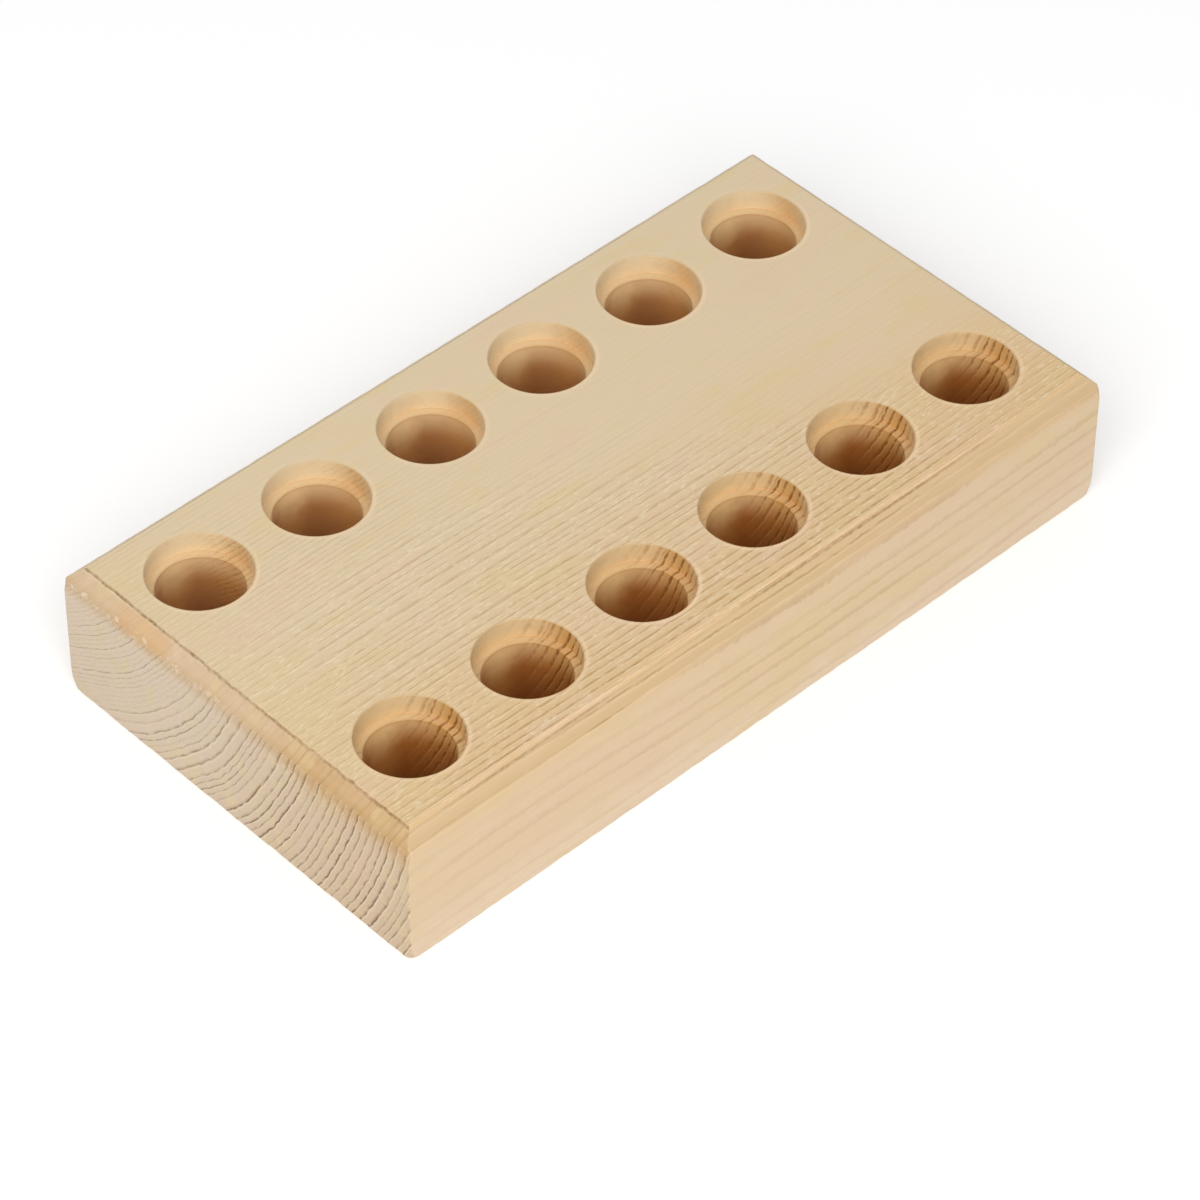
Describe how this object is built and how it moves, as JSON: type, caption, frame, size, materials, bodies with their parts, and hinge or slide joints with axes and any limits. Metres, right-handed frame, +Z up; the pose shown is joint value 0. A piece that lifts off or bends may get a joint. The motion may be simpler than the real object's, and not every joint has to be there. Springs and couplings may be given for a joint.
{
  "type": "tool holder block",
  "caption": "Solid wooden block with rows of blind stepped round sockets that hold tools upright, and a chamfered top edge.",
  "frame": {"origin": "middle of the block's underside", "axes": "+X along the block and its rows of sockets, +Y towards the row that stands nearer its own long edge, +Z up, out of the sockets"},
  "size_m": [0.2186, 0.1162, 0.038],
  "materials": {
    "softwood": "planed and sanded, unfinished"
  },
  "bodies": {
    "root": {"holder_block": "softwood"}
  },
  "joints": []
}
